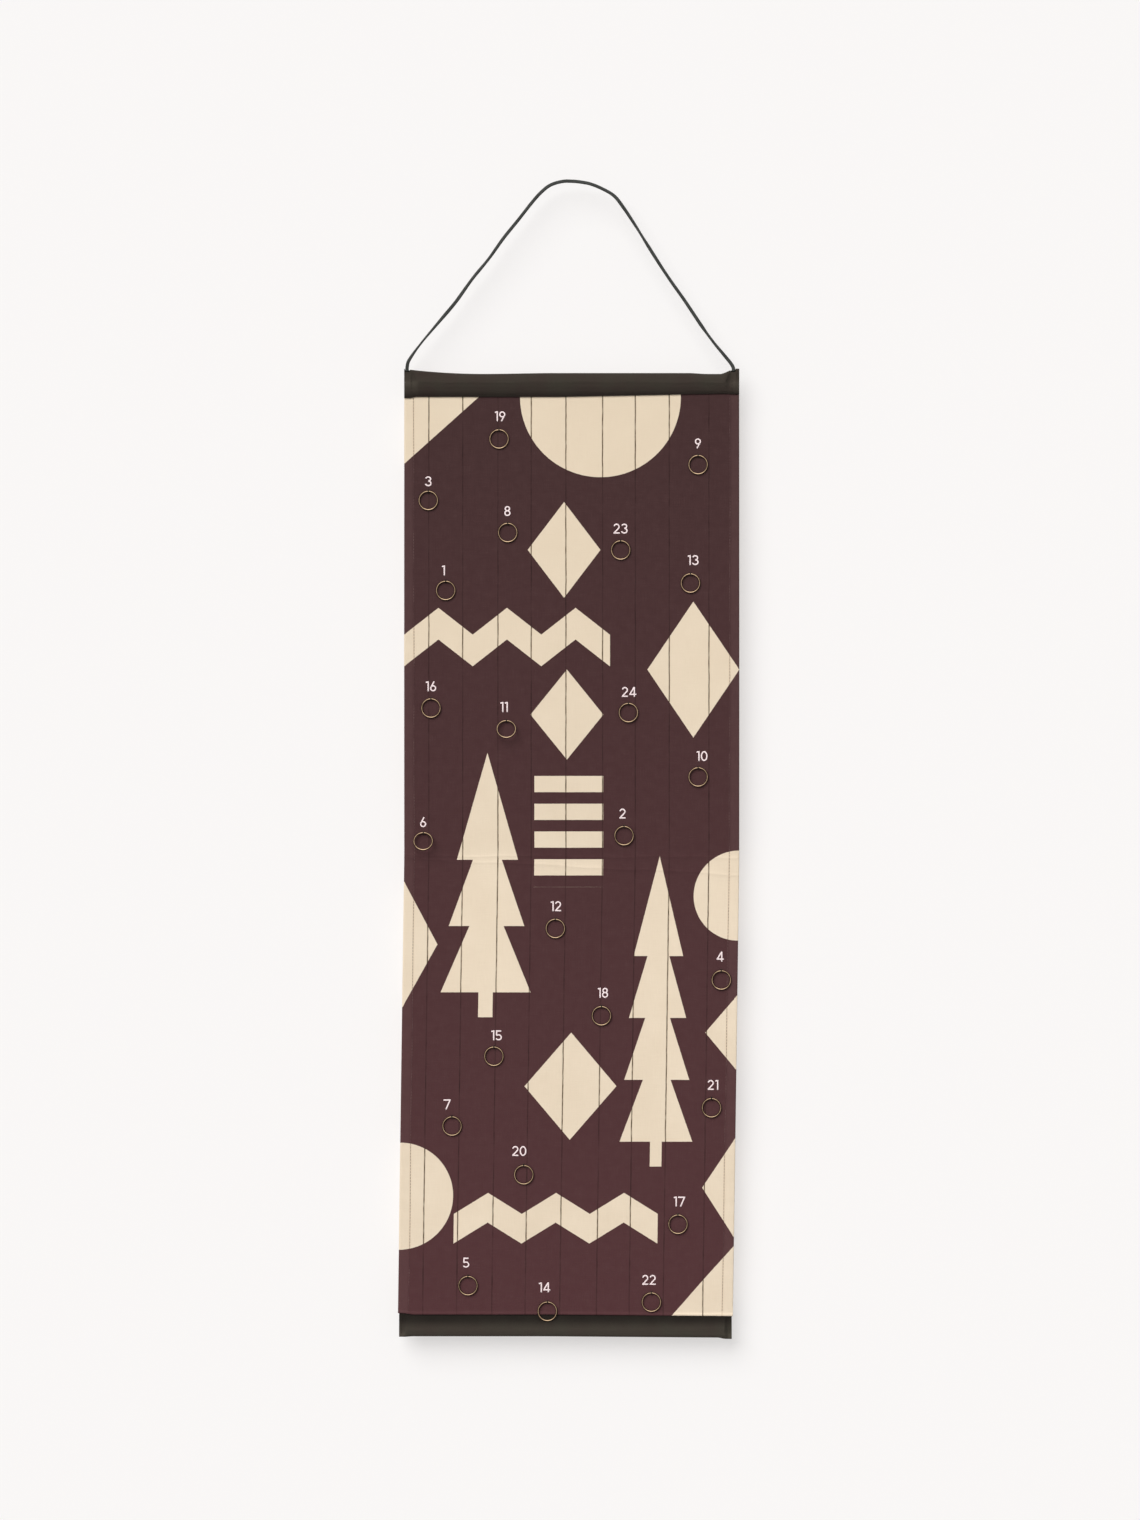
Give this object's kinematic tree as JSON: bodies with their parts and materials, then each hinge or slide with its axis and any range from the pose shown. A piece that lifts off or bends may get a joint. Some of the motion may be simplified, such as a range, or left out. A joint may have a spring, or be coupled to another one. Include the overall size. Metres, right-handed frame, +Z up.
{
  "type": "fabric advent calendar",
  "caption": "Printed cloth panel hung between two rods in sewn casings on a leather lace, with a numbered brass ring for each day's parcel.",
  "frame": {"origin": "the point under the peak of the lace where the wall hook carries it, above the middle of the panel", "axes": "+Z up, +Y to the wall, +X to the right as seen from the printed front"},
  "size_m": [0.3566, 0.0197, 1.2104],
  "materials": {
    "cloth": "printed woven cotton, matt",
    "tape": "dark olive-brown twill tape",
    "wood": "bare ramin dowel",
    "brass": "antique brass wire, satin",
    "thread": "dark cotton thread",
    "lace": "flat dark grey leather lace",
    "print": "pale printed digits on the cloth"
  },
  "bodies": {
    "hanger": {"hanging_lace": "lace"},
    "panel": {"printed_cloth": "cloth", "top_casing": "tape", "bottom_casing": "tape", "left_lace_tail": "lace", "right_lace_tail": "lace", "ring_stitch_01": "thread", "ring_stitch_02": "thread", "ring_stitch_03": "thread", "ring_stitch_04": "thread", "ring_stitch_05": "thread", "ring_stitch_06": "thread", "ring_stitch_07": "thread", "ring_stitch_08": "thread", "ring_stitch_09": "thread", "ring_stitch_10": "thread", "ring_stitch_11": "thread", "ring_stitch_12": "thread", "ring_stitch_13": "thread", "ring_stitch_14": "thread", "ring_stitch_15": "thread", "ring_stitch_16": "thread", "ring_stitch_17": "thread", "ring_stitch_18": "thread", "ring_stitch_19": "thread", "ring_stitch_20": "thread", "ring_stitch_21": "thread", "ring_stitch_22": "thread", "ring_stitch_23": "thread", "ring_stitch_24": "thread"},
    "top_rod": {"top_rod": "wood"},
    "bottom_rod": {"bottom_rod": "wood"},
    "ring_01": {"ring_01": "brass"},
    "ring_02": {"ring_02": "brass"},
    "ring_03": {"ring_03": "brass"},
    "ring_04": {"ring_04": "brass"},
    "ring_05": {"ring_05": "brass"},
    "ring_06": {"ring_06": "brass"},
    "ring_07": {"ring_07": "brass"},
    "ring_08": {"ring_08": "brass"},
    "ring_09": {"ring_09": "brass"},
    "ring_10": {"ring_10": "brass"},
    "ring_11": {"ring_11": "brass"},
    "ring_12": {"ring_12": "brass"},
    "ring_13": {"ring_13": "brass"},
    "ring_14": {"ring_14": "brass"},
    "ring_15": {"ring_15": "brass"},
    "ring_16": {"ring_16": "brass"},
    "ring_17": {"ring_17": "brass"},
    "ring_18": {"ring_18": "brass"},
    "ring_19": {"ring_19": "brass"},
    "ring_20": {"ring_20": "brass"},
    "ring_21": {"ring_21": "brass"},
    "ring_22": {"ring_22": "brass"},
    "ring_23": {"ring_23": "brass"},
    "ring_24": {"ring_24": "brass"}
  },
  "joints": [
    {"name": "panel_swing", "type": "hinge", "parent": "hanger", "child": "panel", "pos_m": [0, 0, -0.196], "axis": [-1, 0, 0], "range_deg": [0, 90]},
    {"name": "top_rod_slide", "type": "slide", "parent": "panel", "child": "top_rod", "axis": [1, 0, 0], "range_m": [-0.0047, 0.0047]},
    {"name": "bottom_rod_slide", "type": "slide", "parent": "panel", "child": "bottom_rod", "axis": [1, 0, 0], "range_m": [-0.0037, 0.0037]},
    {"name": "ring_01_lift", "type": "hinge", "parent": "panel", "child": "ring_01", "pos_m": [-0.1316, -0.00424, -0.41635], "axis": [-1, 0, 0], "range_deg": [0, 168]},
    {"name": "ring_02_lift", "type": "hinge", "parent": "panel", "child": "ring_02", "pos_m": [0.0546, -0.00161, -0.6724], "axis": [-1, 0, 0], "range_deg": [0, 169]},
    {"name": "ring_03_lift", "type": "hinge", "parent": "panel", "child": "ring_03", "pos_m": [-0.1498, -0.00336, -0.32237], "axis": [-1, 0, 0], "range_deg": [0, 168]},
    {"name": "ring_04_lift", "type": "hinge", "parent": "panel", "child": "ring_04", "pos_m": [0.15607, -0.00531, -0.82297], "axis": [-1, 0, 0], "range_deg": [0, 168]},
    {"name": "ring_05_lift", "type": "hinge", "parent": "panel", "child": "ring_05", "pos_m": [-0.10838, -0.0024, -1.14231], "axis": [-1, 0, 0], "range_deg": [0, 169]},
    {"name": "ring_06_lift", "type": "hinge", "parent": "panel", "child": "ring_06", "pos_m": [-0.15505, -0.00205, -0.67912], "axis": [-1, 0, 0], "range_deg": [-24, 145]},
    {"name": "ring_07_lift", "type": "hinge", "parent": "panel", "child": "ring_07", "pos_m": [-0.12498, -0.00439, -0.97545], "axis": [-1, 0, 0], "range_deg": [0, 169]},
    {"name": "ring_08_lift", "type": "hinge", "parent": "panel", "child": "ring_08", "pos_m": [-0.06685, -0.00425, -0.35593], "axis": [-1, 0, 0], "range_deg": [0, 168]},
    {"name": "ring_09_lift", "type": "hinge", "parent": "panel", "child": "ring_09", "pos_m": [0.13195, -0.0029, -0.28497], "axis": [-1, 0, 0], "range_deg": [0, 167]},
    {"name": "ring_10_lift", "type": "hinge", "parent": "panel", "child": "ring_10", "pos_m": [0.13195, -0.00389, -0.61103], "axis": [-1, 0, 0], "range_deg": [0, 169]},
    {"name": "ring_11_lift", "type": "hinge", "parent": "panel", "child": "ring_11", "pos_m": [-0.06825, -0.00476, -0.56212], "axis": [-1, 0, 0], "range_deg": [-24, 145]},
    {"name": "ring_12_lift", "type": "hinge", "parent": "panel", "child": "ring_12", "pos_m": [-0.01714, -0.00379, -0.76926], "axis": [-1, 0, 0], "range_deg": [0, 168]},
    {"name": "ring_13_lift", "type": "hinge", "parent": "panel", "child": "ring_13", "pos_m": [0.1239, -0.00457, -0.40868], "axis": [-1, 0, 0], "range_deg": [0, 168]},
    {"name": "ring_14_lift", "type": "hinge", "parent": "panel", "child": "ring_14", "pos_m": [-0.02545, -0.00191, -1.16916], "axis": [-1, 0, 0], "range_deg": [0, 164]},
    {"name": "ring_15_lift", "type": "hinge", "parent": "panel", "child": "ring_15", "pos_m": [-0.08128, -0.00504, -0.90256], "axis": [-1, 0, 0], "range_deg": [0, 168]},
    {"name": "ring_16_lift", "type": "hinge", "parent": "panel", "child": "ring_16", "pos_m": [-0.147, -0.00404, -0.5391], "axis": [-1, 0, 0], "range_deg": [0, 169]},
    {"name": "ring_17_lift", "type": "hinge", "parent": "panel", "child": "ring_17", "pos_m": [0.11091, -0.0035, -1.07806], "axis": [-1, 0, 0], "range_deg": [0, 169]},
    {"name": "ring_18_lift", "type": "hinge", "parent": "panel", "child": "ring_18", "pos_m": [0.03095, -0.00412, -0.86037], "axis": [-1, 0, 0], "range_deg": [0, 168]},
    {"name": "ring_19_lift", "type": "hinge", "parent": "panel", "child": "ring_19", "pos_m": [-0.07595, -0.00236, -0.25811], "axis": [-1, 0, 0], "range_deg": [0, 167]},
    {"name": "ring_20_lift", "type": "hinge", "parent": "panel", "child": "ring_20", "pos_m": [-0.05008, -0.00465, -1.02627], "axis": [-1, 0, 0], "range_deg": [0, 169]},
    {"name": "ring_21_lift", "type": "hinge", "parent": "panel", "child": "ring_21", "pos_m": [0.14583, -0.0055, -0.95627], "axis": [-1, 0, 0], "range_deg": [0, 169]},
    {"name": "ring_22_lift", "type": "hinge", "parent": "panel", "child": "ring_22", "pos_m": [0.08318, -0.00199, -1.15957], "axis": [-1, 0, 0], "range_deg": [0, 169]},
    {"name": "ring_23_lift", "type": "hinge", "parent": "panel", "child": "ring_23", "pos_m": [0.0511, -0.00386, -0.37415], "axis": [-1, 0, 0], "range_deg": [0, 168]},
    {"name": "ring_24_lift", "type": "hinge", "parent": "panel", "child": "ring_24", "pos_m": [0.05915, -0.0036, -0.5439], "axis": [-1, 0, 0], "range_deg": [0, 169]}
  ]
}
